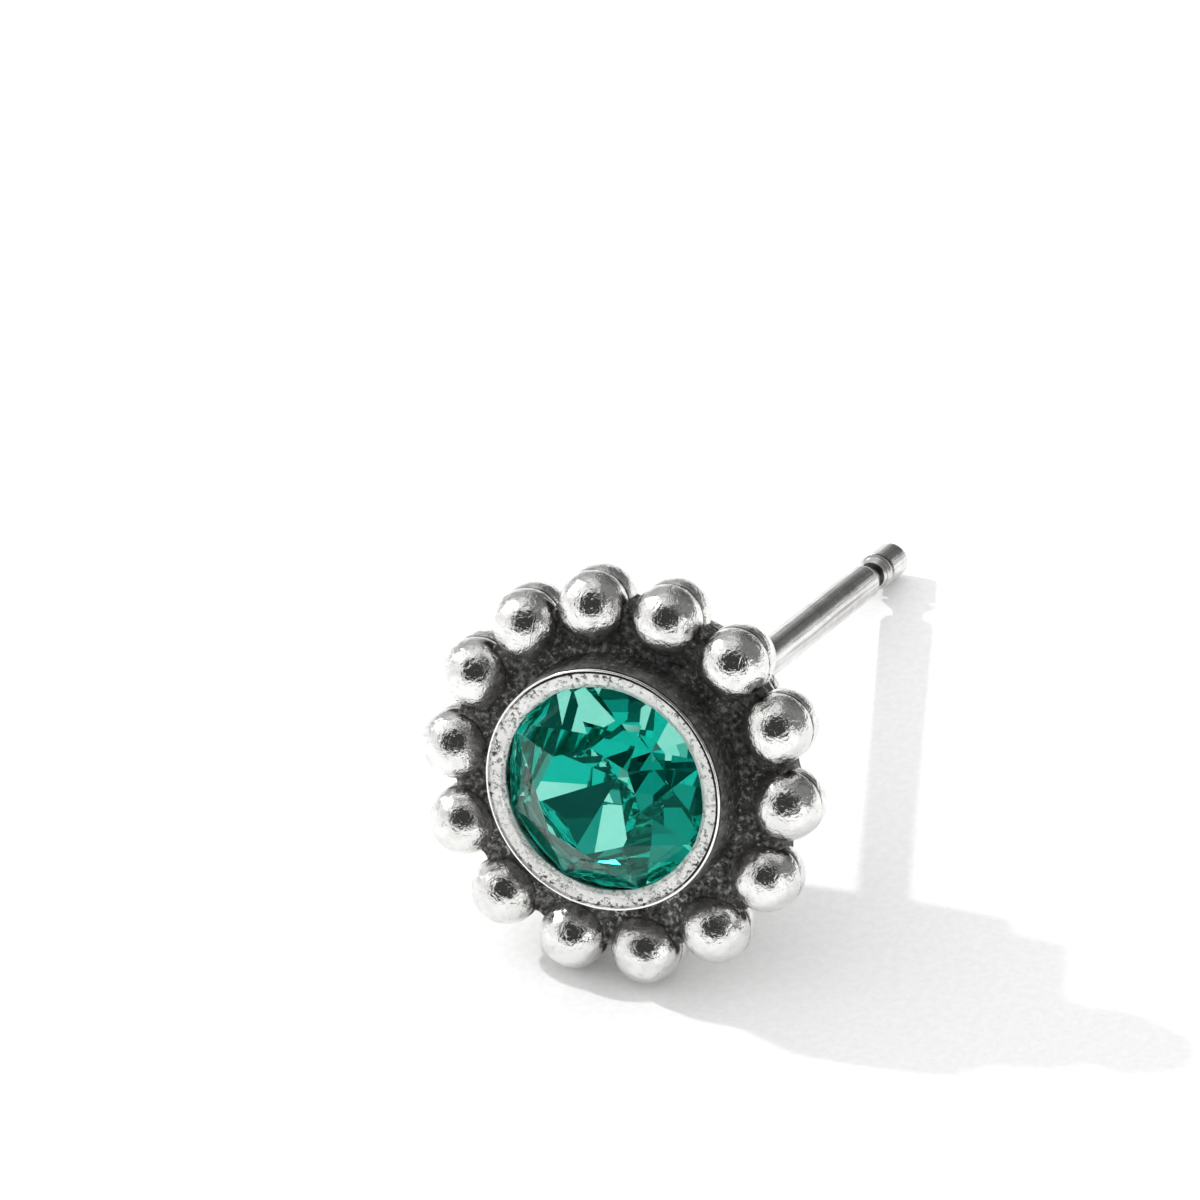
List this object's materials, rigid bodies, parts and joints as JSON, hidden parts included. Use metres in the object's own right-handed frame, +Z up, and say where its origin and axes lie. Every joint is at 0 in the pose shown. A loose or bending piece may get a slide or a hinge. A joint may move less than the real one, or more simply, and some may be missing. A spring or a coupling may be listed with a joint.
{
  "type": "stud earring",
  "caption": "Round stud earring: a green faceted crystal in a bezel cup, a halo of silver beads on an oxidised plate, a grooved back drum with a boss, and a notched post.",
  "frame": {"origin": "on the surface that the earring lies on, under the middle of its outline seen from above", "axes": "+Z up; +Y the way the post points, which dips about 15.6 degrees below +Y because the earring lies on two beads and the post's tip; the face looks along -Y and up; X along the two beads it lies on"},
  "size_m": [0.0094, 0.0174, 0.0091],
  "materials": {
    "green_crystal": "polished facets, emerald green",
    "satin_silver": "bright burnished edge on a satin silver rim",
    "polished_silver": "hand-polished cast silver",
    "oxidised_silver": "dark oxidised silver with a fine grain",
    "drawn_silver": "drawn silver wire with fine lines along it"
  },
  "bodies": {
    "root": {"crystal": "green_crystal", "bezel_cup": "satin_silver", "bead_halo": "polished_silver", "back_drum": "polished_silver", "ear_post": "drawn_silver"}
  },
  "joints": []
}
